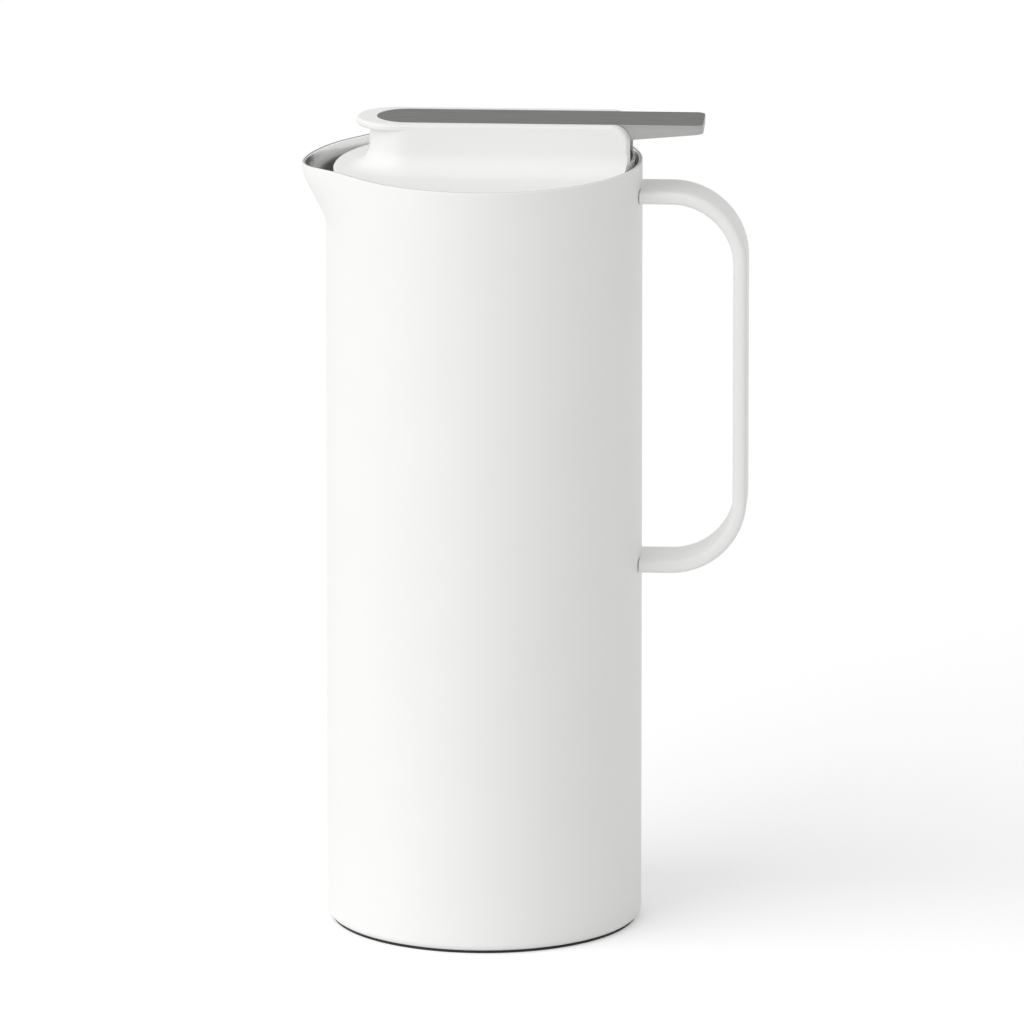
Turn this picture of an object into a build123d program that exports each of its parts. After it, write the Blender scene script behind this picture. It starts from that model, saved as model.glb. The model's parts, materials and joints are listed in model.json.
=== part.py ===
"""Vacuum jug with a formed pouring lip, a strap handle and a stopper with a thumb lever.

Millimetres, +Z up. The origin is on the axis of the body, on the surface that the jug stands on.
The lip points along -X and the handle along +X.
"""
from build123d import *
from math import cos, pi, radians, sin
import os

os.makedirs("parts", exist_ok=True)

# Vessel wall
body_radius = 52.0
rim_height = 257.0
shell_sheet = 0.6
liner_sheet = 0.6
base_corner_radius = 2.5
base_flange_width = 3.5

# Pouring lip, as an outward push of the wall that fades downwards and to both sides
lip_reach = 8.05
lip_half_angle = 45.7
lip_roundness = 3.1
lip_top_band = 4.9
lip_slope_height = 14.8
lip_blend = 2.4
lip_dip = 1.65
lip_dip_length = 8.0
lip_dip_blend_radius = 60.0
lip_margin = 2.0
lip_start_margin = 1.0
lip_least_reach = 0.001
lip_side_points = 10
lip_slope_shares = (0.35, 0.6)

# Inner bottle
vacuum_gap = 2.4
cup_gap = 0.6
cup_depth = 31.0
cup_straight_height = 6.0
cup_corner_radius = 4.0
throat_radius = 39.5
throat_length = 14.0
throat_edge_radius = 2.5
throat_weld_margin = 1.0
neck_slope_height = 5.0
neck_radius = 5.0
bottle_floor_height = 9.0
bottle_corner_radius = 10.0

# Base
pad_thickness = 0.8
pad_setback = 1.8
pad_groove_depth = 0.3
pad_groove_width = 3.0
pad_groove_radii = (40.0, 30.0, 20.0)
base_plate_sheet = 0.6
base_plate_clearance = 0.3
base_joggle = 0.6
dimple_radius = 7.0
dimple_height = 2.0
dimple_slope = 2.0
pump_hole_radius = 1.2
seal_bead_radius = 3.5
seal_bead_depth = 1.2
seal_bead_edge_radius = 1.0
getter_radius = 5.0
getter_thickness = 2.0
getter_edge_radius = 0.5
getter_offset = 20.0

# Handle
strap_width = 20.0
strap_thickness = 4.6
strap_edge_radius = 1.8
strap_bend_radius = 22.8
handle_reach = 34.8
handle_drop = 10.9
handle_span = 124.6
handle_groove = 0.35
handle_pad_width = 16.0
handle_pad_thickness = 3.0

# Lid disc
lid_edge_gap = 1.3
lid_recess = 2.6
lid_thickness = 2.6
lid_edge_radius = 0.9

# Bridge on the lid
bridge_width = 27.0
bridge_height = 16.4
neck_end = 37.6
plate_end = 41.9
plate_thickness = 2.5
bridge_corner_radius = 5.5
bridge_edge_radius = 0.9
bridge_foot_radius = 7.0
foot_root_depth = 1.2
sill_height = 3.6
sill_thickness = 0.7

# Lever
lever_width = 20.0
lever_gap = 0.35
lever_tail = 34.8
lever_tip = 72.3
lever_tip_corner = 2.8
lever_plate_thickness = 1.2
lever_arm_depth = 4.05
lever_tip_depth = 1.8
lever_taper_start = 47.0
lever_edge_radius = 0.2
pin_offset = 26.0
pin_depth = 5.6
pin_radius = 1.5
pin_seat_depth = 1.9
pin_clearance = 0.05
eye_wall = 2.7
nose_radius = 3.0
nose_width = 8.0
nose_drop = 1.0
lever_angle = 5.5

# Stopper
stopper_clearance = 0.9
stopper_seat_gap = 0.3
stopper_floor_thickness = 2.5
stopper_flange_overlap = 3.0
stopper_flange_thickness = 2.0
tower_radius = 36.0
tower_wall = 2.0
window_count = 6
window_angle = 40.0
window_height = 17.0
window_sill = 1.2
window_corner_radius = 3.0
seat_bore_radius = 15.0
gasket_width = 5.8
gasket_groove_depth = 2.0
gasket_throat_gap = 0.3
gasket_side_gap = 0.1
gasket_height_above_floor = 6.0
gasket_lip_thickness = 1.4
spigot_clearance = 0.2
spigot_wall = 1.6
spigot_length = 4.0

# Screws that hold the stopper body to the lid
screw_count = 3
screw_circle_radius = 27.0
screw_start_angle = 0.0
screw_radius = 1.25
screw_length = 10.0
screw_head_radius = 2.4
screw_head_height = 1.6
screw_slot_width = 0.8
screw_slot_depth = 0.7
screw_clearance = 0.25
screw_boss_radius = 3.5
screw_boss_length = 13.0
ear_thickness = 3.0
ear_radius = 4.6

# Spring well and stem guide
well_radius = 6.7
well_wall = 1.5
well_depth = 10.5
well_floor = 1.8
guide_radius = 5.4
guide_length = 7.5
guide_clearance = 0.06
seal_pocket_radius = 4.0
seal_pocket_depth = 3.5
seal_thickness = 2.2
retainer_thickness = 1.2
retainer_clearance = 0.6

# Valve
stem_radius = 2.0
stem_collar_radius = 3.4
stem_collar_height = 1.5
stem_end_chamfer = 0.5
cap_radius = 6.0
cap_thickness = 3.0
cap_socket_depth = 2.0
cap_edge_radius = 0.6
nose_gap = 0.3
valve_radius = 19.0
valve_thickness = 2.2
valve_edge_radius = 0.7
valve_hub_radius = 5.0
valve_hub_height = 2.4
valve_shoulder_height = 1.0
valve_gasket_thickness = 1.5
valve_gasket_width = 3.0
valve_seat_gap = 0.1
valve_shoulder_clearance = 0.1
nut_across_flats = 7.0
nut_height = 3.2
stem_tail = 0.7

# Return spring
spring_wire = 0.8
spring_radius = 4.6
spring_turns = 6
spring_end_gap = 0.1

# Heights and radii that follow from the sizes above
shell_inner_radius = body_radius - shell_sheet
liner_outer_radius = shell_inner_radius - vacuum_gap
liner_inner_radius = liner_outer_radius - liner_sheet
cup_outer_radius = shell_inner_radius - cup_gap
cup_inner_radius = cup_outer_radius - liner_sheet
cup_floor = rim_height - cup_depth
throat_bottom = cup_floor - throat_length
throat_weld_height = cup_floor - throat_edge_radius - throat_weld_margin
lip_drop = lip_top_band + lip_slope_height + lip_blend
band_start = rim_height - max(lip_drop + lip_start_margin, cup_depth - cup_straight_height)
lip_tip = body_radius + lip_reach

lid_radius = shell_inner_radius - liner_sheet - lid_edge_gap
lid_top = rim_height - lid_recess
lid_underside = lid_top - lid_thickness
bridge_top = lid_top + bridge_height
bridge_half = bridge_width / 2
slot_half = lever_width / 2 + lever_gap
tail_centre = lever_tail - lever_width / 2

lever_underside = bridge_top - lever_plate_thickness
arm_underside = lever_underside - lever_arm_depth
pin_height = bridge_top - pin_depth
nose_bottom = arm_underside - nose_drop
cap_top = nose_bottom - nose_gap
cap_bottom = cap_top - cap_thickness
well_bottom = lid_top - well_depth
guide_bottom = well_bottom - well_floor - guide_length
valve_travel = pin_offset * radians(lever_angle)

stopper_radius = throat_radius - stopper_clearance
flange_bottom = cup_floor + stopper_seat_gap
flange_top = flange_bottom + stopper_flange_thickness
stopper_bottom = throat_bottom
tower_inner_radius = tower_radius - tower_wall
ear_underside = lid_underside - screw_boss_length - ear_thickness
valve_gasket_top = stopper_bottom - valve_seat_gap
valve_top = valve_gasket_top - valve_gasket_thickness
valve_bottom = valve_top - valve_thickness
stem_bottom = valve_bottom - nut_height - stem_tail

handle_top_height = rim_height - handle_drop
handle_bottom_height = handle_top_height - handle_span
strap_outer_x = body_radius + handle_reach
strap_centre_x = strap_outer_x - strap_thickness / 2
groove_radius = body_radius + handle_groove


def finish(piece, name):
    """Label a finished piece and write it to its own file."""
    piece.label = name
    export_step(piece, f"parts/{name}.step")


def soft_ramp(length):
    """Zero below 0 and the length itself above, with a parabola between -blend and +blend."""
    if length <= -lip_blend:
        return 0.0
    if length >= lip_blend:
        return length
    return (length + lip_blend) ** 2 / (4 * lip_blend)


def lip_share(height):
    """Share of the full reach that the lip has at a height, from 1 at the rim to 0 below."""
    depth = rim_height - height
    below = soft_ramp(lip_top_band + lip_slope_height - depth)
    above = soft_ramp(lip_top_band - depth)
    return (below - above) / lip_slope_height


def lip_section(radius, height):
    """One level section of the wall: a round back and, in front, the curve of the lip."""
    reach = lip_reach * lip_share(height)
    points = []
    for step in range(-lip_side_points, lip_side_points + 1):
        share = step / lip_side_points
        turn = pi - radians(lip_half_angle) * share
        distance = radius + reach * max(0.0, cos(pi / 2 * share)) ** lip_roundness
        points.append((distance * cos(turn), distance * sin(turn)))
    with BuildSketch(Plane.XY.offset(height)) as section:
        with BuildLine():
            if reach > lip_least_reach:
                start = pi + radians(lip_half_angle)
                end = pi - radians(lip_half_angle)
                Spline(*points, tangents=((sin(start), -cos(start)), (sin(end), -cos(end))))
            else:
                ThreePointArc(points[0], (-radius, 0), points[-1])
            ThreePointArc(points[-1], (radius, 0), points[0])
        make_face()
    return section.sketch


def lip_heights():
    """Heights of the lofted sections, close together where the side of the lip bends."""
    slope_end = lip_top_band + lip_slope_height
    depths = [-lip_margin, lip_top_band - lip_blend, lip_top_band, lip_top_band + lip_blend]
    depths += [lip_top_band + lip_slope_height * share for share in lip_slope_shares]
    depths += [slope_end - lip_blend, slope_end, slope_end + lip_blend]
    return [band_start] + [rim_height - depth for depth in reversed(depths)]


def lip_form(top_radius, bottom_radius):
    """Solid of everything inside a wall surface, from the start of the lip to above the rim."""
    heights = lip_heights()
    full = heights[-1] - heights[0]
    with BuildPart() as form:
        sections = []
        for height in heights:
            share = (height - heights[0]) / full
            sections.append(lip_section(bottom_radius + (top_radius - bottom_radius) * share, height))
        loft(sections=sections)
    return form.part


def rim_cutter():
    """Everything above the rim: level, then dipping towards the tip of the lip."""
    far = 2 * body_radius
    dip_start = -(lip_tip - lip_dip_length)
    run = far + dip_start
    drop = run * lip_dip / lip_dip_length
    with BuildPart() as cutter:
        with BuildSketch(Plane.XZ):
            with BuildLine():
                edge = FilletPolyline(
                    (far, rim_height),
                    (dip_start, rim_height),
                    (-far, rim_height - drop),
                    radius=lip_dip_blend_radius,
                )
                Polyline(edge @ 1, (-far, rim_height + far), (far, rim_height + far), edge @ 0)
            make_face()
        extrude(amount=far, both=True)
    return cutter.part


above_rim = rim_cutter()

# Outer shell: straight wall, turned under at the bottom and pressed out to a lip at the rim
with BuildPart() as outer_shell:
    corner = base_corner_radius
    turn_start = pad_thickness + corner
    flat_end = body_radius - corner
    flange_end = flat_end - base_flange_width
    with BuildSketch(Plane.XZ):
        with BuildLine():
            Polyline((flange_end, pad_thickness), (flat_end, pad_thickness))
            RadiusArc((flat_end, pad_thickness), (body_radius, turn_start), -corner)
            Polyline(
                (body_radius, turn_start),
                (body_radius, band_start),
                (shell_inner_radius, band_start),
                (shell_inner_radius, turn_start),
            )
            RadiusArc(
                (shell_inner_radius, turn_start),
                (flat_end, pad_thickness + shell_sheet),
                corner - shell_sheet,
            )
            Polyline(
                (flat_end, pad_thickness + shell_sheet),
                (flange_end, pad_thickness + shell_sheet),
                (flange_end, pad_thickness),
            )
        make_face()
    revolve(axis=Axis.Z)
    add(lip_form(body_radius, body_radius))
    add(lip_form(shell_inner_radius, shell_inner_radius), mode=Mode.SUBTRACT)
    add(above_rim, mode=Mode.SUBTRACT)
finish(outer_shell.part, "outer_shell")

# Inner wall: bottle, throat that the stopper seals in, and a cup that widens into the lip
with BuildPart() as inner_wall:
    with BuildSketch(Plane.XZ):
        with BuildLine():
            inside = FilletPolyline(
                (0, bottle_floor_height),
                (liner_inner_radius, bottle_floor_height),
                (liner_inner_radius, throat_bottom - neck_slope_height),
                (throat_radius, throat_bottom),
                (throat_radius, cup_floor),
                (cup_inner_radius, cup_floor),
                (cup_inner_radius, band_start),
                radius=(
                    bottle_corner_radius,
                    neck_radius,
                    neck_radius,
                    throat_edge_radius,
                    cup_corner_radius,
                ),
            )
            offset(inside, amount=liner_sheet, side=Side.RIGHT)
        make_face()
    revolve(axis=Axis.Z)
    add(lip_form(shell_inner_radius, cup_outer_radius))
    add(lip_form(shell_inner_radius - liner_sheet, cup_inner_radius), mode=Mode.SUBTRACT)
    add(above_rim, mode=Mode.SUBTRACT)

# It is made as two sheets, welded edge to edge in the throat: the bottle below and the cup above
with BuildPart() as inner_liner:
    add(inner_wall.part)
    split(bisect_by=Plane.XY.offset(throat_weld_height), keep=Keep.BOTTOM)
finish(inner_liner.part, "inner_liner")

with BuildPart() as pouring_cup:
    add(inner_wall.part)
    split(bisect_by=Plane.XY.offset(throat_weld_height), keep=Keep.TOP)
finish(pouring_cup.part, "pouring_cup")

# Base plate: welded on the turned-under edge, with a dimple round the pumping hole
with BuildPart() as base_plate:
    low = pad_thickness
    seat = pad_thickness + shell_sheet
    plate = base_plate_sheet
    edge = shell_inner_radius - base_corner_radius + shell_sheet - base_plate_clearance
    step = flange_end - base_plate_clearance
    with BuildSketch(Plane.XZ):
        with BuildLine():
            Polyline(
                (edge, seat),
                (step, seat),
                (step - base_joggle, low),
                (dimple_radius, low),
                (dimple_radius - dimple_slope, low + dimple_height),
                (pump_hole_radius, low + dimple_height),
                (pump_hole_radius, low + dimple_height + plate),
                (dimple_radius - dimple_slope + plate / 2, low + dimple_height + plate),
                (dimple_radius + plate / 2, low + plate),
                (step - base_joggle - plate / 2, low + plate),
                (step - plate / 2, seat + plate),
                (edge, seat + plate),
                close=True,
            )
        make_face()
    revolve(axis=Axis.Z)
finish(base_plate.part, "base_plate")

# Base pad: the soft disc that the jug stands on, with grip grooves underneath
with BuildPart() as base_pad:
    with BuildSketch():
        Circle(body_radius - pad_setback)
    extrude(amount=pad_thickness)
    with BuildSketch():
        # Outermost ring first, because each filled circle would close a smaller ring
        for radius in pad_groove_radii:
            Circle(radius + pad_groove_width)
            Circle(radius, mode=Mode.SUBTRACT)
    extrude(amount=pad_groove_depth, mode=Mode.SUBTRACT)
finish(base_pad.part, "base_pad")

# Bead that closes the pumping hole, domed in the dimple below it
with BuildPart() as vacuum_seal:
    bead_top = pad_thickness + dimple_height
    with BuildSketch(Plane.XY.offset(bead_top)):
        Circle(seal_bead_radius)
    extrude(amount=-seal_bead_depth)
    fillet(vacuum_seal.edges().sort_by(Axis.Z)[0], radius=seal_bead_edge_radius)
    with BuildSketch(Plane.XY.offset(bead_top)):
        Circle(pump_hole_radius)
    extrude(amount=base_plate_sheet)
finish(vacuum_seal.part, "vacuum_seal")

# Getter pill on the underside of the liner
with BuildPart() as getter:
    with BuildSketch(Plane.XY.offset(bottle_floor_height - liner_sheet)):
        with Locations((getter_offset, 0)):
            Circle(getter_radius)
    extrude(amount=-getter_thickness)
    fillet(getter.faces().sort_by(Axis.Z)[0].edges(), radius=getter_edge_radius)
finish(getter.part, "getter")

# Handle: one flat strap, bent twice, its ends shaped to the round body
with BuildPart() as handle_strap:
    with BuildLine() as strap_path:
        FilletPolyline(
            (0, 0, handle_top_height),
            (strap_centre_x, 0, handle_top_height),
            (strap_centre_x, 0, handle_bottom_height),
            (0, 0, handle_bottom_height),
            radius=strap_bend_radius,
        )
    with BuildSketch(Plane((0, 0, handle_top_height), x_dir=(0, 1, 0), z_dir=(1, 0, 0))):
        RectangleRounded(strap_width, strap_thickness, strap_edge_radius)
    sweep(path=strap_path.wire())
    with BuildSketch():
        Circle(groove_radius)
    extrude(amount=rim_height, mode=Mode.SUBTRACT)
finish(handle_strap.part, "handle_strap")

# Weld pads: slightly smaller than the strap, so that a fine groove shows round each end
for pad_name, pad_height in (
    ("handle_pad_upper", handle_top_height),
    ("handle_pad_lower", handle_bottom_height),
):
    with BuildPart() as handle_pad:
        with BuildSketch(Plane.XY.offset(pad_height)):
            Circle(groove_radius)
            Circle(body_radius, mode=Mode.SUBTRACT)
            with Locations((groove_radius, 0)):
                Rectangle(2 * groove_radius, handle_pad_width, mode=Mode.INTERSECT)
        extrude(amount=handle_pad_thickness / 2, both=True)
    finish(handle_pad.part, pad_name)

# Bridge of the lid: a wall with a round front end and an outer end that follows the edge of the
# disc, and a plate that overhangs it in front
neck_centre = neck_end - bridge_half
plate_centre = plate_end - bridge_half

with BuildPart() as bridge_plate:
    with BuildSketch(Plane.XY.offset(bridge_top)):
        with Locations((-plate_centre, 0)):
            Circle(bridge_half)
            Rectangle(plate_centre, bridge_width, align=(Align.MIN, Align.CENTER))
    extrude(amount=-plate_thickness)
    for level_face in bridge_plate.faces().filter_by(Axis.Z):
        fillet(level_face.edges().sort_by(Axis.X)[:-1], radius=bridge_edge_radius)

with BuildPart() as bridge:
    with BuildSketch(Plane.XY.offset(lid_top - foot_root_depth)):
        Circle(lid_radius)
        with Locations((-neck_centre, 0)):
            Rectangle(2 * body_radius, bridge_width, align=(Align.MIN, Align.CENTER), mode=Mode.INTERSECT)
            Circle(bridge_half)
    extrude(amount=foot_root_depth + bridge_height)
    end_face = bridge.faces().sort_by(Axis.X)[-1]
    fillet(end_face.edges().sort_by(Axis.Z)[-1], radius=bridge_corner_radius)
    top_face = bridge.faces().filter_by(Axis.Z).sort_by(Axis.Z)[-1]
    fillet(top_face.edges().sort_by(Axis.X)[:-1], radius=bridge_edge_radius)
    add(bridge_plate.part)
    # The slot for the lever, with a low sill left standing across its outer end
    with BuildSketch(Plane.XY.offset(lid_top + sill_height)):
        with Locations((-tail_centre, 0)):
            Circle(slot_half)
            Rectangle(tail_centre + 2 * body_radius, 2 * slot_half, align=(Align.MIN, Align.CENTER))
    extrude(amount=bridge_height, mode=Mode.SUBTRACT)
    with BuildSketch(Plane.XY.offset(lid_top)):
        Circle(lid_radius - sill_thickness)
        with Locations((-tail_centre, 0)):
            Rectangle(2 * body_radius, 2 * slot_half, align=(Align.MIN, Align.CENTER), mode=Mode.INTERSECT)
            Circle(slot_half)
    extrude(amount=sill_height, mode=Mode.SUBTRACT)


def foot_section(side):
    """Concave corner between one side of the bridge and the disc, for side 1 or -1."""
    inside = side * (bridge_half - bridge_edge_radius)
    wall = side * bridge_half
    outside = side * (bridge_half + bridge_foot_radius)
    foot_top = lid_top + bridge_foot_radius
    root = lid_top - foot_root_depth
    with BuildSketch(Plane.YZ.offset(-neck_centre)) as section:
        with BuildLine():
            Polyline(
                (wall, foot_top),
                (inside, foot_top),
                (inside, root),
                (outside, root),
                (outside, lid_top),
            )
            RadiusArc((outside, lid_top), (wall, foot_top), side * bridge_foot_radius)
        make_face()
    return section.sketch


# Foot of the bridge: the hollow curve that runs round it, cut off at the edge of the disc
with BuildPart() as bridge_foot:
    add(foot_section(1))
    revolve(axis=Axis((-neck_centre, 0, 0), (0, 0, 1)), revolution_arc=180)
    for side in (1, -1):
        add(foot_section(side))
        extrude(amount=neck_centre + body_radius, dir=(1, 0, 0))
    with BuildSketch(Plane.XY.offset(lid_underside)):
        Circle(lid_radius)
    extrude(amount=lid_thickness + bridge_height, mode=Mode.INTERSECT)

# Lid cap: disc, bridge, lever slot, spring well, stem guide and screw bosses in one moulding
with BuildPart() as lid_cap:
    with BuildSketch(Plane.XY.offset(lid_underside)):
        Circle(lid_radius)
    extrude(amount=lid_thickness)
    fillet(lid_cap.edges().sort_by(Axis.Z)[-1], radius=lid_edge_radius)
    add(bridge_foot.part)
    add(bridge.part)
    with BuildSketch(Plane.XY.offset(lid_underside)):
        Circle(well_radius + well_wall)
    extrude(amount=well_bottom - well_floor - lid_underside)
    with BuildSketch(Plane.XY.offset(well_bottom - well_floor)):
        Circle(guide_radius)
    extrude(amount=-guide_length)
    with BuildSketch(Plane.XY.offset(lid_top)):
        Circle(well_radius)
    extrude(amount=-well_depth, mode=Mode.SUBTRACT)
    with BuildSketch(Plane.XY.offset(guide_bottom)):
        Circle(stem_radius + guide_clearance)
    extrude(amount=guide_length + well_floor, mode=Mode.SUBTRACT)
    with BuildSketch(Plane.XY.offset(guide_bottom)):
        Circle(seal_pocket_radius)
    extrude(amount=seal_pocket_depth, mode=Mode.SUBTRACT)
    with BuildSketch(Plane.XY.offset(lid_underside)):
        Circle(tower_inner_radius - spigot_clearance)
        Circle(tower_inner_radius - spigot_clearance - spigot_wall, mode=Mode.SUBTRACT)
    extrude(amount=-spigot_length)
    with BuildSketch(Plane.XY.offset(lid_underside)):
        with PolarLocations(screw_circle_radius, screw_count, start_angle=screw_start_angle):
            Circle(screw_boss_radius)
    extrude(amount=-screw_boss_length)
    with BuildSketch(Plane.XY.offset(lid_underside - screw_boss_length)):
        with PolarLocations(screw_circle_radius, screw_count, start_angle=screw_start_angle):
            Circle(screw_radius)
    extrude(amount=screw_length - ear_thickness + screw_clearance, mode=Mode.SUBTRACT)
    with BuildSketch(Plane.XZ):
        with Locations((-pin_offset, pin_height)):
            Circle(pin_radius)
    extrude(amount=slot_half + pin_seat_depth, both=True, mode=Mode.SUBTRACT)
finish(lid_cap.part, "lid_cap")

# Stopper body: cup with a valve seat in its floor, a gasket groove, a resting flange and windows
with BuildPart() as stopper_body:
    groove_low = stopper_bottom + gasket_height_above_floor - gasket_side_gap
    groove_high = groove_low + gasket_width + 2 * gasket_side_gap
    groove_floor = stopper_radius - gasket_groove_depth
    flange_radius = throat_radius + stopper_flange_overlap
    floor_top = stopper_bottom + stopper_floor_thickness
    with BuildSketch(Plane.XZ):
        with BuildLine():
            Polyline(
                (seat_bore_radius, stopper_bottom),
                (stopper_radius, stopper_bottom),
                (stopper_radius, groove_low),
                (groove_floor, groove_low),
                (groove_floor, groove_high),
                (stopper_radius, groove_high),
                (stopper_radius, flange_bottom),
                (flange_radius, flange_bottom),
                (flange_radius, flange_top),
                (tower_radius, flange_top),
                (tower_radius, lid_underside),
                (tower_inner_radius, lid_underside),
                (tower_inner_radius, floor_top),
                (seat_bore_radius, floor_top),
                close=True,
            )
        make_face()
    revolve(axis=Axis.Z)
    window_width = 2 * tower_radius * sin(radians(window_angle / 2))
    window_middle = flange_top + window_sill + window_height / 2
    for window in range(window_count):
        turn = radians(360 * (window + 0.5) / window_count)
        outward = (cos(turn), sin(turn), 0)
        window_plane = Plane((0, 0, window_middle), x_dir=(-sin(turn), cos(turn), 0), z_dir=outward)
        with BuildSketch(window_plane):
            RectangleRounded(window_width, window_height, window_corner_radius)
        extrude(amount=tower_radius + tower_wall, mode=Mode.SUBTRACT)
    with BuildSketch(Plane.XY.offset(ear_underside)):
        for ear in range(screw_count):
            with Locations(Location((0, 0), screw_start_angle + 360 * ear / screw_count)):
                with Locations((screw_circle_radius, 0)):
                    Circle(ear_radius)
                    Rectangle(
                        tower_inner_radius + tower_wall / 2 - screw_circle_radius,
                        2 * ear_radius,
                        align=(Align.MIN, Align.CENTER),
                    )
        with PolarLocations(screw_circle_radius, screw_count, start_angle=screw_start_angle):
            Circle(screw_radius + screw_clearance, mode=Mode.SUBTRACT)
    extrude(amount=ear_thickness)
finish(stopper_body.part, "stopper_body")

# Stopper gasket: a soft band with two rounded sealing lips
with BuildPart() as stopper_gasket:
    gasket_low = groove_low + gasket_side_gap
    gasket_high = gasket_low + gasket_width
    gasket_radius = throat_radius - gasket_throat_gap
    band_radius = gasket_radius - gasket_lip_thickness / 2
    lip_radius = gasket_lip_thickness / 2
    with BuildSketch(Plane.XZ):
        with Locations(((groove_floor + band_radius) / 2, (gasket_low + gasket_high) / 2)):
            Rectangle(band_radius - groove_floor, gasket_width)
        with Locations((band_radius, gasket_low + lip_radius), (band_radius, gasket_high - lip_radius)):
            Circle(lip_radius)
    revolve(axis=Axis.Z)
finish(stopper_gasket.part, "stopper_gasket")

# Screws from below, through the ears into the bosses
with BuildPart() as lid_screws:
    with BuildSketch(Plane.XY.offset(ear_underside)):
        with PolarLocations(screw_circle_radius, screw_count, start_angle=screw_start_angle):
            Circle(screw_head_radius)
    extrude(amount=-screw_head_height)
    with BuildSketch(Plane.XY.offset(ear_underside)):
        with PolarLocations(screw_circle_radius, screw_count, start_angle=screw_start_angle):
            Circle(screw_radius)
    extrude(amount=screw_length)
    with BuildSketch(Plane.XY.offset(ear_underside - screw_head_height)):
        with PolarLocations(screw_circle_radius, screw_count, start_angle=screw_start_angle):
            Rectangle(2 * screw_head_radius, screw_slot_width)
    extrude(amount=screw_slot_depth, mode=Mode.SUBTRACT)
finish(lid_screws.part, "lid_screws")

# Soft ring that wipes the stem, and the washer that keeps it in its pocket
with BuildPart() as stem_seal:
    with BuildSketch(Plane.XY.offset(guide_bottom + seal_pocket_depth)):
        Circle(seal_pocket_radius)
        Circle(stem_radius + guide_clearance, mode=Mode.SUBTRACT)
    extrude(amount=-seal_thickness)
finish(stem_seal.part, "stem_seal")

with BuildPart() as seal_retainer:
    with BuildSketch(Plane.XY.offset(guide_bottom + seal_pocket_depth - seal_thickness)):
        Circle(seal_pocket_radius)
        Circle(stem_radius + retainer_clearance, mode=Mode.SUBTRACT)
    extrude(amount=-retainer_thickness)
finish(seal_retainer.part, "seal_retainer")

# Cross pin of the lever, seated in blind holes in both walls of the bridge
with BuildPart() as pivot_pin:
    with BuildSketch(Plane.XZ):
        with Locations((-pin_offset, pin_height)):
            Circle(pin_radius)
    extrude(amount=slot_half + pin_seat_depth, both=True)
finish(pivot_pin.part, "pivot_pin")


def lever_outline(height):
    """Plan of the lever: a round tail, straight sides and a tip with rounded corners."""
    with BuildSketch(Plane.XY.offset(height)) as outline:
        with Locations((-tail_centre, 0)):
            Rectangle(tail_centre + lever_tip, lever_width, align=(Align.MIN, Align.CENTER))
        fillet(outline.vertices().group_by(Axis.X)[-1], radius=lever_tip_corner)
        with Locations((-tail_centre, 0)):
            Circle(lever_width / 2)
    return outline.sketch


# Lever plate: the satin metal top, level with the top of the bridge
with BuildPart() as lever_plate:
    add(lever_outline(lever_underside))
    extrude(amount=lever_plate_thickness)
    fillet(lever_plate.faces().sort_by(Axis.Z)[-1].edges(), radius=lever_edge_radius)
finish(lever_plate.part, "lever_plate")

# Lever arm: a bar that thins towards the tip, with the eye of the pin and the nose on the valve
with BuildPart() as lever_arm:
    with BuildSketch(Plane.XZ):
        with BuildLine():
            Polyline(
                (-lever_tail, lever_underside),
                (lever_tip, lever_underside),
                (lever_tip, lever_underside - lever_tip_depth),
                (lever_taper_start, arm_underside),
                (-lever_tail, arm_underside),
                close=True,
            )
        make_face()
        with Locations((-pin_offset, pin_height)):
            Circle(pin_radius + eye_wall)
    extrude(amount=lever_width / 2, both=True)
    add(lever_outline(arm_underside - lever_width))
    extrude(amount=2 * lever_width, mode=Mode.INTERSECT)
    with BuildSketch(Plane.XZ):
        with Locations((0, nose_bottom + nose_radius)):
            Circle(nose_radius)
        with Locations((0, lever_underside)):
            Rectangle(4 * nose_radius, 4 * nose_radius, align=(Align.CENTER, Align.MIN), mode=Mode.SUBTRACT)
    extrude(amount=nose_width / 2, both=True)
    with BuildSketch(Plane.XZ):
        with Locations((-pin_offset, pin_height)):
            Circle(pin_radius + pin_clearance)
    extrude(amount=lever_width, both=True, mode=Mode.SUBTRACT)
finish(lever_arm.part, "lever_arm")

# Push cap on top of the stem, between the nose of the lever and the spring
with BuildPart() as push_cap:
    with BuildSketch(Plane.XY.offset(cap_bottom)):
        Circle(cap_radius)
    extrude(amount=cap_thickness)
    fillet(push_cap.edges().sort_by(Axis.Z)[-1], radius=cap_edge_radius)
    with BuildSketch(Plane.XY.offset(cap_bottom)):
        Circle(stem_radius)
    extrude(amount=cap_socket_depth, mode=Mode.SUBTRACT)
finish(push_cap.part, "push_cap")

# Valve stem, with the collar that the valve plate is clamped against
with BuildPart() as valve_stem:
    with BuildSketch(Plane.XY.offset(stem_bottom)):
        Circle(stem_radius)
    extrude(amount=cap_bottom + cap_socket_depth - stem_bottom)
    with BuildSketch(Plane.XY.offset(valve_top + valve_hub_height)):
        Circle(stem_collar_radius)
    extrude(amount=stem_collar_height)
    chamfer(valve_stem.edges().sort_by(Axis.Z)[0], length=stem_end_chamfer)
finish(valve_stem.part, "valve_stem")

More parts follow.
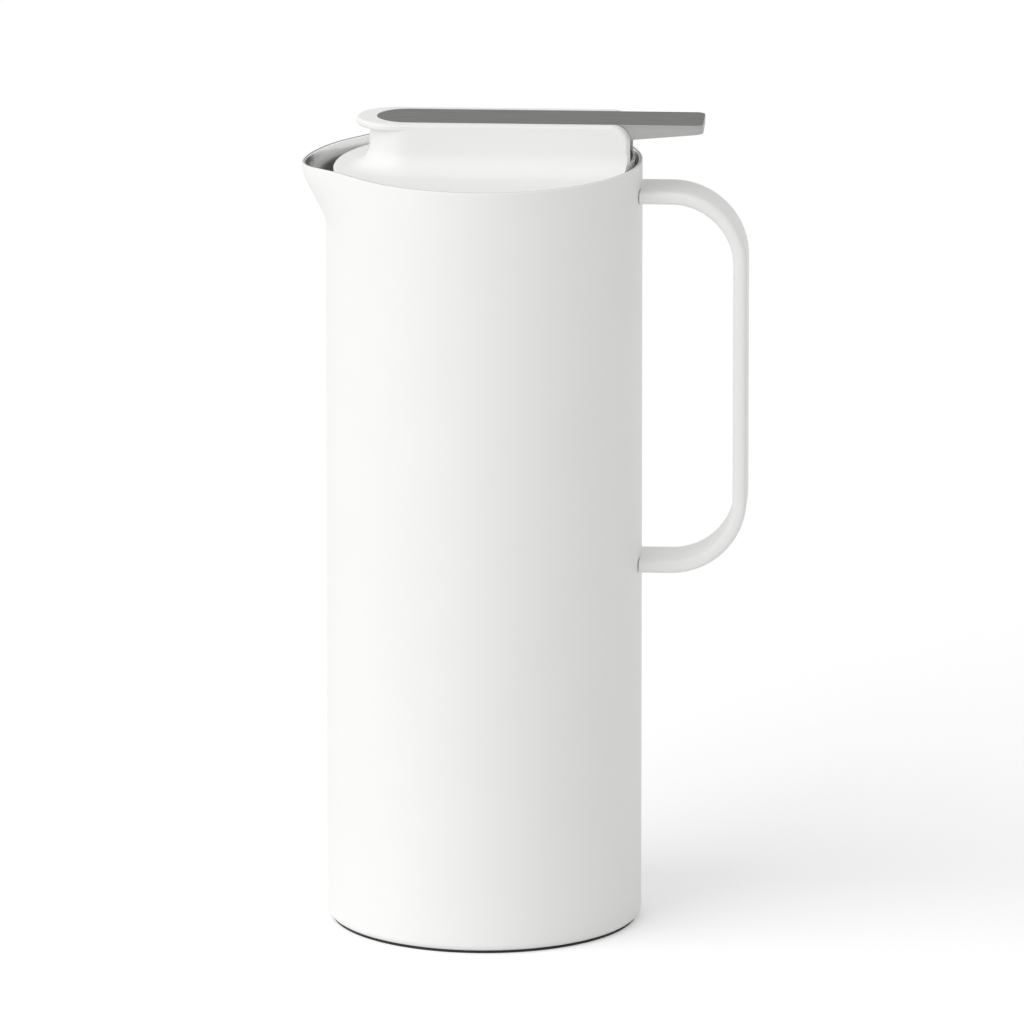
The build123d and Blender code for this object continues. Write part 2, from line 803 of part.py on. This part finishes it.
# Valve plate, with a shoulder that centres its gasket
with BuildPart() as valve_plate:
    gasket_inner = seat_bore_radius + (valve_radius - seat_bore_radius - valve_gasket_width) / 2
    with BuildSketch(Plane.XY.offset(valve_bottom)):
        Circle(valve_radius)
    extrude(amount=valve_thickness)
    fillet(valve_plate.edges().sort_by(Axis.Z)[0], radius=valve_edge_radius)
    with BuildSketch(Plane.XY.offset(valve_top)):
        Circle(gasket_inner - valve_shoulder_clearance)
    extrude(amount=valve_shoulder_height)
    with BuildSketch(Plane.XY.offset(valve_top)):
        Circle(valve_hub_radius)
    extrude(amount=valve_hub_height)
    with BuildSketch(Plane.XY.offset(valve_bottom)):
        Circle(stem_radius)
    extrude(amount=valve_thickness + valve_hub_height, mode=Mode.SUBTRACT)
finish(valve_plate.part, "valve_plate")

# Soft ring on the valve plate, which closes against the seat
with BuildPart() as valve_gasket:
    with BuildSketch(Plane.XY.offset(valve_top)):
        Circle(gasket_inner + valve_gasket_width)
        Circle(gasket_inner, mode=Mode.SUBTRACT)
    extrude(amount=valve_gasket_thickness)
finish(valve_gasket.part, "valve_gasket")

# Nut that holds the valve plate on the stem
with BuildPart() as valve_nut:
    with BuildSketch(Plane.XY.offset(valve_bottom)):
        RegularPolygon(nut_across_flats / 2, 6, major_radius=False)
        Circle(stem_radius, mode=Mode.SUBTRACT)
    extrude(amount=-nut_height)
finish(valve_nut.part, "valve_nut")

# Return spring: one open coil between the floor of the well and the push cap
with BuildPart() as return_spring:
    spring_low = well_bottom + spring_wire / 2 + spring_end_gap
    spring_high = cap_bottom - spring_wire / 2 - spring_end_gap
    spring_pitch = (spring_high - spring_low) / spring_turns
    with BuildLine() as coil:
        Helix(spring_pitch, spring_high - spring_low, spring_radius, center=(0, 0, spring_low))
    with BuildSketch(Plane(coil.line @ 0, z_dir=coil.line % 0)):
        Circle(spring_wire / 2)
    sweep(path=coil.line, is_frenet=True)
finish(return_spring.part, "return_spring")

print("valve travel", round(valve_travel, 3), "mm at full tilt of the lever")
print("least gap between turns of the return spring", round(spring_pitch - spring_wire, 3), "mm")
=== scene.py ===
"""Looks of the vacuum jug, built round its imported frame.

Metres, +Z up, in the frame's own axes: the lip points along -X and the handle along +X.
"""

import json
import math

import bmesh
import bpy
import numpy as np
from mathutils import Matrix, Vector


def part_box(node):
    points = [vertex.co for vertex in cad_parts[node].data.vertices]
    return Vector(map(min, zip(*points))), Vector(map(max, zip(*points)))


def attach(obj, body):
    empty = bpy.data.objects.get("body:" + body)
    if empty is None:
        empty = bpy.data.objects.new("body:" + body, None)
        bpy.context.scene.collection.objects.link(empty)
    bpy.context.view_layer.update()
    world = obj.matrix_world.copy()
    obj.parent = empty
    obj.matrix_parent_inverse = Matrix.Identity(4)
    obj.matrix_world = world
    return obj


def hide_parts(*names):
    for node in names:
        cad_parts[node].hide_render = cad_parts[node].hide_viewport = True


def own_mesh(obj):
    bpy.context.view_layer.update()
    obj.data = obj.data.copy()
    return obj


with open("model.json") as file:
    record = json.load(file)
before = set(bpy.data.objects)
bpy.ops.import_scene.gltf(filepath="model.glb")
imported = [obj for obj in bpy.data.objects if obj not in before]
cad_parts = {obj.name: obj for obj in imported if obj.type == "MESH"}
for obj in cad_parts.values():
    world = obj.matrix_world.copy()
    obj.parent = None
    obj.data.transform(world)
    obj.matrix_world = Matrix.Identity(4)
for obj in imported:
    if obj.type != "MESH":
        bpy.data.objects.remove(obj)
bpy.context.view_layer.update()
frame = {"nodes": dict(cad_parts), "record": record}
nodes = frame["nodes"]

MM = 0.001

# Sizes read from the frame
shell_low, shell_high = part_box("outer_shell")
strap_low, strap_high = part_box("handle_strap")
liner_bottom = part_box("inner_liner")[0].z
body_radius = shell_high.y
shell_bottom = shell_low.z
rim_height = shell_high.z
lip_reach = -shell_low.x - body_radius

# Sheet and lip, as in the part's source
sheet = 0.6 * MM
vacuum_gap = 2.4 * MM
cup_gap = 0.6 * MM
base_corner_radius = 2.5 * MM
base_flange_width = 3.5 * MM
lip_half_angle = math.radians(45.7)
lip_roundness = 3.1
lip_top_band = 4.9 * MM
lip_slope_height = 14.8 * MM
lip_blend = 2.4 * MM
lip_dip = 1.65 * MM
lip_dip_length = 8.0 * MM
lip_dip_blend_radius = 60.0 * MM
lip_margin = 2.0 * MM
rim_edge_radius = 0.4 * MM

# Inner bottle and the cup above it
cup_depth = 31.0 * MM
cup_straight_height = 6.0 * MM
cup_corner_radius = 4.0 * MM
throat_radius = 39.5 * MM
throat_length = 14.0 * MM
throat_edge_radius = 2.5 * MM
neck_slope_height = 5.0 * MM
neck_radius = 5.0 * MM
bottle_corner_radius = 10.0 * MM

# Handle
strap_width = strap_high.y - strap_low.y
strap_thickness = 4.6 * MM
strap_edge_radius = 1.8 * MM
strap_bend_radius = 22.8 * MM
handle_groove = 0.35 * MM

# Sizes that follow from those above
shell_inner_radius = body_radius - sheet
liner_outer_radius = shell_inner_radius - vacuum_gap
liner_inner_radius = liner_outer_radius - sheet
cup_outer_radius = shell_inner_radius - cup_gap
cup_inner_radius = cup_outer_radius - sheet
cup_floor = rim_height - cup_depth
throat_bottom = cup_floor - throat_length
band_start = cup_floor + cup_straight_height
bottle_floor_height = liner_bottom + sheet

# How finely the surfaces are worked out
lip_columns = 96
back_columns = 160
bend_rows = 32
corner_rows = 8
strap_end_rings = 9
lip_step = 1.0 * MM
wall_step = 6.0 * MM
rim_drop_rounds = 4
merge_distance = 1e-7
sharp_edge_angle = math.radians(40)

# How noise changes the finishes: most of its values lie between these two
noise_low = 0.3
noise_high = 0.7
cloud_scale = 35.0
cloud_shade = 0.985
coat_roughness_spread = 0.03
coat_shine = 0.4
line_shade = 0.94
line_roughness_spread = 0.15

# Where a surface counts as facing up for painted shade, by the height of its normal
upward_from = 0.6
upward_fully = 0.8
# How far below the rim the cup's upward faces get painted shade
shaded_rim_depth = 3 * MM

# Camera, fitted to the outlines in the photograph
photo_side = 1024
camera_azimuth = math.radians(3.0)
camera_elevation = math.radians(14.233)
camera_distance = 5.7
camera_clip = 100.0
focal_length_in_pixels = 17285.0
aim_to_the_right = 9.134 * MM
aim_height = 136.965 * MM
sensor_width = 36.0

# Light and floor
white = (1, 1, 1, 1)
ambient_strength = 0.60
key_azimuth = math.radians(-54)
key_elevation = math.radians(32)
key_width = math.radians(64)
key_strength = 1.36
floor_half_side = 8.0
floor_roughness = 0.9
floor_shade_in_soft_light = 0.88
floor_lift_for_the_camera = 0.18


# Materials


def feed(tree, entry, value):
    """Gives a node's input a number or a colour, or links another node's output to it."""
    if isinstance(value, bpy.types.NodeSocket):
        tree.links.new(value, entry)
    else:
        entry.default_value = value


def worked_out(tree, operation, first, second):
    """What a Math node makes of two values."""
    made = tree.nodes.new("ShaderNodeMath")
    made.operation = operation
    feed(tree, made.inputs[0], first)
    feed(tree, made.inputs[1], second)
    return made.outputs["Value"]


def remapped(tree, value, source, target):
    """A value carried evenly from one range (low, high) to another, and held at its ends."""
    made = tree.nodes.new("ShaderNodeMapRange")
    feed(tree, made.inputs["Value"], value)
    feed(tree, made.inputs["From Min"], source[0])
    feed(tree, made.inputs["From Max"], source[1])
    feed(tree, made.inputs["To Min"], target[0])
    feed(tree, made.inputs["To Max"], target[1])
    return made.outputs["Result"]


def blended(tree, share, low, high):
    """A colour between two, by a share from 0 to 1."""
    made = tree.nodes.new("ShaderNodeMix")
    made.data_type = "RGBA"
    feed(tree, made.inputs["Factor"], share)
    feed(tree, made.inputs["A"], low)
    feed(tree, made.inputs["B"], high)
    return made.outputs["Result"]


def noise(tree, scale, stretch=(1, 1, 1), detail=3.0):
    """Noise on the piece's own coordinates, stretched along its axes."""
    place = tree.nodes.new("ShaderNodeTexCoord")
    mapping = tree.nodes.new("ShaderNodeMapping")
    made = tree.nodes.new("ShaderNodeTexNoise")
    feed(tree, mapping.inputs["Vector"], place.outputs["Object"])
    feed(tree, mapping.inputs["Scale"], stretch)
    feed(tree, made.inputs["Vector"], mapping.outputs["Vector"])
    feed(tree, made.inputs["Scale"], scale)
    feed(tree, made.inputs["Detail"], detail)
    return made.outputs["Fac"]


def spread_value(tree, value, low, high):
    """A value between low and high that follows noise."""
    return remapped(tree, value, (noise_low, noise_high), (low, high))


def spread_colour(tree, value, colour, shade):
    """A colour that noise darkens as far as a shade of itself."""
    darker = tuple(c * shade for c in colour)
    return blended(tree, spread_value(tree, value, 0, 1), (*darker, 1), (*colour, 1))


def add_bump(tree, shader, value, depth):
    """Bump of a real depth from a value."""
    bump = tree.nodes.new("ShaderNodeBump")
    feed(tree, bump.inputs["Height"], value)
    feed(tree, bump.inputs["Distance"], depth)
    feed(tree, bump.inputs["Strength"], 1.0)
    feed(tree, shader.inputs["Normal"], bump.outputs["Normal"])


def new_material(name):
    """An empty node material, its tree and its Principled shader."""
    made = bpy.data.materials.new(name)
    made.use_nodes = True
    return made, made.node_tree, made.node_tree.nodes["Principled BSDF"]


def coated(name, colour, grain, depth, roughness):
    """Powder coat or fine moulded plastic: even colour with a faint cloud, and a fine grain."""
    made, tree, shader = new_material(name)
    cloud = noise(tree, cloud_scale)
    fine = noise(tree, 1 / grain, detail=2.0)
    least = roughness - coat_roughness_spread
    most = roughness + coat_roughness_spread
    feed(tree, shader.inputs["Base Color"], spread_colour(tree, cloud, colour, cloud_shade))
    feed(tree, shader.inputs["Roughness"], spread_value(tree, fine, least, most))
    feed(tree, shader.inputs["Specular IOR Level"], coat_shine)
    add_bump(tree, shader, fine, depth)
    return made


def brushed(name, colour, stretch, depth, roughness):
    """Metal with fine lines along the axis of the smallest stretch, or an even grain."""
    made, tree, shader = new_material(name)
    lines = noise(tree, 1.0, stretch, detail=4.0)
    least = roughness * (1 - line_roughness_spread)
    most = roughness * (1 + line_roughness_spread)
    feed(tree, shader.inputs["Base Color"], spread_colour(tree, lines, colour, line_shade))
    feed(tree, shader.inputs["Roughness"], spread_value(tree, lines, least, most))
    feed(tree, shader.inputs["Metallic"], 1.0)
    add_bump(tree, shader, lines, depth)
    return made


def paint_shade_upward(made, colour, lowest):
    """Painted shade: another, darker colour where the surface faces up and lies above a height."""
    tree = made.node_tree
    base = tree.nodes["Principled BSDF"].inputs["Base Color"]
    place = tree.nodes.new("ShaderNodeTexCoord")
    normal = tree.nodes.new("ShaderNodeSeparateXYZ")
    position = tree.nodes.new("ShaderNodeSeparateXYZ")
    feed(tree, normal.inputs["Vector"], place.outputs["Normal"])
    feed(tree, position.inputs["Vector"], place.outputs["Object"])
    upward = remapped(tree, normal.outputs["Z"], (upward_from, upward_fully), (0, 1))
    above = worked_out(tree, "GREATER_THAN", position.outputs["Z"], lowest)
    share = worked_out(tree, "MULTIPLY", upward, above)
    feed(tree, base, blended(tree, share, base.links[0].from_socket, (*colour, 1)))


shell_coat = coated(
    "white_powder_coat",
    colour=(0.93, 0.93, 0.915),
    grain=0.5 * MM,
    depth=0.004 * MM,
    roughness=0.5,
)
strap_coat = coated(
    "white_strap_coat",
    colour=(0.93, 0.93, 0.915),
    grain=0.5 * MM,
    depth=0.004 * MM,
    roughness=0.5,
)
lid_plastic = coated(
    "white_moulded_plastic",
    colour=(0.93, 0.93, 0.92),
    grain=0.35 * MM,
    depth=0.003 * MM,
    roughness=0.45,
)
stopper_plastic = coated(
    "smooth_white_plastic",
    colour=(0.80, 0.80, 0.79),
    grain=1.0 * MM,
    depth=0.003 * MM,
    roughness=0.35,
)
pad_rubber = coated(
    "black_silicone",
    colour=(0.02, 0.02, 0.02),
    grain=0.4 * MM,
    depth=0.01 * MM,
    roughness=0.7,
)
seal_silicone = coated(
    "grey_silicone",
    colour=(0.48, 0.48, 0.47),
    grain=0.6 * MM,
    depth=0.004 * MM,
    roughness=0.55,
)
solder_glass = coated(
    "solder_glass",
    colour=(0.12, 0.09, 0.06),
    grain=1.5 * MM,
    depth=0.002 * MM,
    roughness=0.1,
)
liner_steel = brushed(
    "drawn_steel",
    colour=(0.94, 0.94, 0.93),
    stretch=(40, 40, 2500),
    depth=0.001 * MM,
    roughness=0.25,
)
plain_steel = brushed(
    "plain_steel",
    colour=(0.60, 0.60, 0.60),
    stretch=(900, 900, 900),
    depth=0.001 * MM,
    roughness=0.28,
)
lever_metal = brushed(
    "satin_lever_metal",
    colour=(0.40, 0.40, 0.395),
    stretch=(60, 2500, 2500),
    depth=0.001 * MM,
    roughness=0.45,
)
lever_body = brushed(
    "die_cast_lever_metal",
    colour=(0.42, 0.42, 0.41),
    stretch=(1500, 1500, 1500),
    depth=0.001 * MM,
    roughness=0.42,
)

# Painted shade: the cup's rim, where it faces up near its top, is painted dark grey over its steel
paint_shade_upward(liner_steel, (0.20, 0.20, 0.195), rim_height - shaded_rim_depth)
# Painted shade: the lever's top is painted darker than its sides
paint_shade_upward(lever_metal, (0.114, 0.114, 0.111), 0.0)

finishes = {
    "shell_coat": shell_coat,
    "strap_coat": strap_coat,
    "lid_plastic": lid_plastic,
    "stopper_plastic": stopper_plastic,
    "pad_rubber": pad_rubber,
    "seal_silicone": seal_silicone,
    "liner_steel": liner_steel,
    "plain_steel": plain_steel,
    "bead_glass": solder_glass,
    "lever_metal": lever_metal,
    "lever_body": lever_body,
}

for subpart in frame["record"]["subparts"]:
    node = nodes[subpart["node"]]
    node.data.materials.clear()
    node.data.materials.append(finishes[subpart["material_slot"]])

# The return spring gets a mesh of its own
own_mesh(nodes["return_spring"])


# Shapes


def add_piece(name, points, body, slot, replaces, rows_closed=False):
    """A mesh over a grid of points (rows, columns, 3) whose columns run round a closed loop.

    The rows close too where rows_closed is true. Rows that shrink to one point become poles.
    """
    rows, columns = points.shape[:2]
    row = np.arange(rows if rows_closed else rows - 1)[:, None]
    column = np.arange(columns)[None, :]
    next_row = (row + 1) % rows
    next_column = (column + 1) % columns
    corners = (
        row * columns + column,
        row * columns + next_column,
        next_row * columns + next_column,
        next_row * columns + column,
    )
    faces = np.stack(corners, axis=2).reshape(-1, 4)
    mesh = bpy.data.meshes.new(name)
    mesh.from_pydata(points.reshape(-1, 3), [], faces)
    cleaned = bmesh.new()
    cleaned.from_mesh(mesh)
    bmesh.ops.remove_doubles(cleaned, verts=cleaned.verts, dist=merge_distance)
    bmesh.ops.dissolve_degenerate(cleaned, edges=cleaned.edges, dist=merge_distance)
    bmesh.ops.recalc_face_normals(cleaned, faces=cleaned.faces)
    cleaned.to_mesh(mesh)
    cleaned.free()
    mesh.shade_smooth()
    mesh.set_sharp_from_angle(angle=sharp_edge_angle)
    mesh.materials.append(finishes[slot])
    piece = bpy.data.objects.new(name, mesh)
    bpy.context.scene.collection.objects.link(piece)
    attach(piece, body)
    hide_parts(*replaces)


def soft_ramp(length, blend):
    """Zero below -blend, the length itself above blend, and a parabola in between."""
    curve = (np.clip(length, -blend, blend) + blend) ** 2 / (4 * blend)
    return np.where(length >= blend, length, curve)


def lip_share(height):
    """Share of the lip's reach at a height: 1 in the band at the rim, then falling evenly to 0."""
    depth = rim_height - height
    below = soft_ramp(lip_top_band + lip_slope_height - depth, lip_blend)
    above = soft_ramp(lip_top_band - depth, lip_blend)
    return (below - above) / lip_slope_height


def lip_bulge(angle):
    """Share of the push at an angle: a cosine between the lip's sides, to a power."""
    share = np.abs((angle % (2 * np.pi)) - np.pi) / lip_half_angle
    return np.cos(np.pi / 2 * np.minimum(share, 1.0)) ** lip_roundness


def rim_drop(x):
    """How far the rim has dipped below its level part at a place along X."""
    slope = lip_dip / lip_dip_length
    dip_start = -(body_radius + lip_reach - lip_dip_length)
    blend = lip_dip_blend_radius * math.tan(math.atan(slope) / 2)
    return slope * soft_ramp(dip_start - x, blend)


def wall_surface(profile, angles):
    """Points of a wall with a lip, for a profile of radii and heights and an array of angles.

    Each profile point is turned round the axis, pushed out by reach x share of its height x bulge
    of its angle, and lowered by the rim's drop in proportion to its height above the band's start.
    The drop and the push at the rim depend on each other, so they are worked out in rounds.
    """
    radius, height = profile[:, 0], profile[:, 1]
    bulge = lip_bulge(angles)
    drop = np.zeros_like(angles)
    for _ in range(rim_drop_rounds):
        tip = body_radius + lip_reach * lip_share(rim_height - drop) * bulge
        drop = rim_drop(tip * np.cos(angles))
    rise = np.clip((height - band_start) / (rim_height - band_start), 0.0, 1.0)
    z = height[:, None] - rise[:, None] * drop[None, :]
    distance = radius[:, None] + lip_reach * lip_share(z) * bulge[None, :]
    return np.stack([distance * np.cos(angles), distance * np.sin(angles), z], axis=2)


def wall_angles():
    """Angles round the jug, closer together across the lip."""
    lip_start = np.pi - lip_half_angle
    lip_end = np.pi + lip_half_angle
    lip = np.linspace(lip_start, lip_end, lip_columns, endpoint=False)
    back = np.linspace(lip_end, 2 * np.pi + lip_start, back_columns, endpoint=False)
    return np.concatenate([lip, back])


def arc(centre_r, centre_z, radius, start, end):
    """Points (r, z) of an arc about a centre, from one angle to another in degrees."""
    angle = np.radians(np.linspace(start, end, corner_rows))
    return np.stack([centre_r + radius * np.cos(angle), centre_z + radius * np.sin(angle)], axis=1)


def rounded(points, radii):
    """A profile through corner points, each inner corner replaced by an arc of its own radius.

    The arc's centre lies on the corner's middle line, and its start is turned about that centre.
    """
    points = [np.array(point, float) for point in points]
    parts = [points[0][None, :]]
    for before, corner, after, radius in zip(points, points[1:], points[2:], radii):
        to_before = (before - corner) / np.linalg.norm(before - corner)
        to_after = (after - corner) / np.linalg.norm(after - corner)
        half = math.acos(float(to_before @ to_after)) / 2
        middle = (to_before + to_after) / np.linalg.norm(to_before + to_after)
        centre = corner + middle * radius / math.sin(half)
        start = corner + to_before * radius / math.tan(half) - centre
        side = np.sign(start[0] * to_after[1] - start[1] * to_after[0])
        turn = (math.pi - 2 * half) * np.linspace(0, 1, corner_rows)
        cosine = np.cos(turn)
        sine = np.sin(turn) * side
        across = start[0] * cosine - start[1] * sine
        along = start[0] * sine + start[1] * cosine
        parts.append(centre + np.stack([across, along], axis=1))
    parts.append(points[-1][None, :])
    return np.concatenate(parts)


def spread(profile):
    """The same profile with points added in its long steps, closer together where the lip is."""
    parts = []
    for start, end in zip(profile, profile[1:]):
        longest = lip_step if max(start[1], end[1]) > band_start else wall_step
        count = max(1, math.ceil(np.linalg.norm(end - start) / longest))
        parts.append(start + (end - start) * (np.arange(count) / count)[:, None])
    return np.concatenate(parts + [profile[-1:]])


# Outer shell, closed in a ring: up the outside, over the rim and down the inside
angles = wall_angles()
turn_start = shell_bottom + base_corner_radius
flat_end = body_radius - base_corner_radius
flange_end = flat_end - base_flange_width
top_centre = rim_height - rim_edge_radius
shell_profile = np.concatenate(
    [
        [(flange_end, shell_bottom)],
        arc(flat_end, turn_start, base_corner_radius, -90, 0),
        [(body_radius, band_start)],
        arc(body_radius - rim_edge_radius, top_centre, rim_edge_radius, 0, 90),
        [(shell_inner_radius, rim_height), (shell_inner_radius, band_start)],
        arc(flat_end, turn_start, base_corner_radius - sheet, 0, -90),
        [(flange_end, shell_bottom + sheet)],
    ]
)
add_piece(
    "shell_wall",
    wall_surface(spread(shell_profile), angles),
    "vessel",
    "shell_coat",
    replaces=("outer_shell",),
    rows_closed=True,
)

# Bottle, throat and cup from the inside, and the same profile one sheet further out
band_top = rim_height + lip_margin
rim_share = (rim_height - band_start) / (band_top - band_start)
rim_inside_radius = cup_inner_radius + (shell_inner_radius - sheet - cup_inner_radius) * rim_share
liner_corners = rounded(
    [
        (0, bottle_floor_height),
        (liner_inner_radius, bottle_floor_height),
        (liner_inner_radius, throat_bottom - neck_slope_height),
        (throat_radius, throat_bottom),
        (throat_radius, cup_floor),
        (cup_inner_radius, cup_floor),
        (cup_inner_radius, band_start),
    ],
    [bottle_corner_radius, neck_radius, neck_radius, throat_edge_radius, cup_corner_radius],
)
liner_inside = spread(np.concatenate([liner_corners, [(rim_inside_radius, top_centre)]]))
step = np.gradient(liner_inside, axis=0)
outward = np.stack([step[:, 1], -step[:, 0]], axis=1)
outward /= np.linalg.norm(outward, axis=1)[:, None]
liner_outside = liner_inside + sheet * outward
# The bottle's floor ends on the axis
liner_outside[0, 0] = 0.0
rim_edge = arc(rim_inside_radius + rim_edge_radius, top_centre, rim_edge_radius, 180, 90)
rim_outside = np.array([(rim_inside_radius + sheet, rim_height)])
liner_profile = np.concatenate([liner_inside, rim_edge[1:], rim_outside, liner_outside[::-1]])
add_piece(
    "liner_wall",
    wall_surface(liner_profile, angles),
    "vessel",
    "liner_steel",
    replaces=("inner_liner", "pouring_cup"),
)


def strap_section():
    """Outline of the strap as offsets (across, through): a rectangle with nearly half-round edges."""
    across = strap_width / 2 - strap_edge_radius
    through = strap_thickness / 2 - strap_edge_radius
    corners = (
        arc(across, through, strap_edge_radius, 0, 90),
        arc(-across, through, strap_edge_radius, 90, 180),
        arc(-across, -through, strap_edge_radius, 180, 270),
        arc(across, -through, strap_edge_radius, 270, 360),
    )
    return np.concatenate(corners)


def strap_surface():
    """The strap: its outline carried along a run, a bend, a run, a bend and a run.

    The line is a run out from the body, a quarter circle down, a run down, a quarter circle in and
    a run back. Each end lies on a cylinder round the body, and closes in rings to its middle.
    """
    section = strap_section()
    across, through = section[:, 0], section[:, 1]
    top = strap_high.z - strap_thickness / 2
    bottom = strap_low.z + strap_thickness / 2
    centre_x = strap_high.x - strap_thickness / 2 - strap_bend_radius
    centres_z = (top - strap_bend_radius, bottom + strap_bend_radius)
    centre_z = np.repeat(centres_z, bend_rows)[:, None]
    quarter = np.radians(np.linspace(90, 0, bend_rows))
    turn = np.concatenate([quarter, quarter - np.pi / 2])[:, None]
    distance = strap_bend_radius + through[None, :]
    x = centre_x + distance * np.cos(turn)
    y = np.broadcast_to(across, x.shape)
    z = centre_z + distance * np.sin(turn)
    bends = np.stack([x, y, z], axis=2)
    ring = np.linspace(0, 1, strap_end_rings)[:, None]
    end_y = ring * across[None, :]
    end_x = np.sqrt((body_radius + handle_groove) ** 2 - end_y**2)
    upper_end = np.stack([end_x, end_y, top + ring * through[None, :]], axis=2)
    lower_end = np.stack([end_x, end_y, bottom - ring * through[None, :]], axis=2)[::-1]
    return np.concatenate([upper_end, bends, lower_end])


add_piece(
    "handle_strip",
    strap_surface(),
    "vessel",
    "strap_coat",
    replaces=("handle_strap",),
)


# Camera, light and floor


def towards(azimuth, elevation):
    """Direction from the jug to a place: azimuth 0 is along -Y, and it grows towards +X."""
    level = math.cos(elevation)
    return Vector((math.sin(azimuth) * level, -math.cos(azimuth) * level, math.sin(elevation)))


def seen_directly(tree):
    """1 for a ray from the camera, off a gloss or through glass, and 0 for soft light."""
    rays = tree.nodes.new("ShaderNodeLightPath").outputs
    either = worked_out(tree, "MAXIMUM", rays["Is Camera Ray"], rays["Is Glossy Ray"])
    return worked_out(tree, "MAXIMUM", either, rays["Is Transmission Ray"])


right = Vector((math.cos(camera_azimuth), math.sin(camera_azimuth), 0))
back = towards(camera_azimuth, camera_elevation)
camera_data = bpy.data.cameras.new("camera")
camera_data.sensor_width = sensor_width
camera_data.lens = focal_length_in_pixels * sensor_width / photo_side
camera_data.clip_end = camera_clip
camera = bpy.data.objects.new("camera", camera_data)
camera.location = Vector((0, 0, aim_height)) + right * aim_to_the_right + back * camera_distance
camera.rotation_mode = "QUATERNION"
camera.rotation_quaternion = (-back).to_track_quat("-Z", "Y")
bpy.context.scene.collection.objects.link(camera)
bpy.context.scene.camera = camera

world = bpy.data.worlds.new("studio")
world.use_nodes = True
bpy.context.scene.world = world
sky_tree = world.node_tree
sky = sky_tree.nodes["Background"]
sky_strength = remapped(sky_tree, seen_directly(sky_tree), (0, 1), (ambient_strength, 1))
feed(sky_tree, sky.inputs["Color"], white)
feed(sky_tree, sky.inputs["Strength"], sky_strength)

key_data = bpy.data.lights.new("key", "SUN")
key_data.angle = key_width
key_data.energy = key_strength
key = bpy.data.objects.new("key", key_data)
key.rotation_mode = "QUATERNION"
key.rotation_quaternion = (-towards(key_azimuth, key_elevation)).to_track_quat("-Z", "Y")
bpy.context.scene.collection.objects.link(key)

floor_paint, floor_tree, floor_shader = new_material("pale_floor")
seen = seen_directly(floor_tree)
soft_shade = (*(floor_shade_in_soft_light,) * 3, 1)
floor_lift = worked_out(floor_tree, "MULTIPLY", seen, floor_lift_for_the_camera)
feed(floor_tree, floor_shader.inputs["Base Color"], blended(floor_tree, seen, soft_shade, white))
feed(floor_tree, floor_shader.inputs["Roughness"], floor_roughness)
feed(floor_tree, floor_shader.inputs["Specular IOR Level"], 0.0)
feed(floor_tree, floor_shader.inputs["Emission Color"], white)
feed(floor_tree, floor_shader.inputs["Emission Strength"], floor_lift)

side = floor_half_side
floor_corners = [(-side, -side, 0), (side, -side, 0), (side, side, 0), (-side, side, 0)]
floor_mesh = bpy.data.meshes.new("floor")
floor_mesh.from_pydata(floor_corners, [], [(0, 1, 2, 3)])
floor_mesh.materials.append(floor_paint)
floor = bpy.data.objects.new("floor", floor_mesh)
bpy.context.scene.collection.objects.link(floor)

bpy.context.scene.view_settings.view_transform = "Standard"
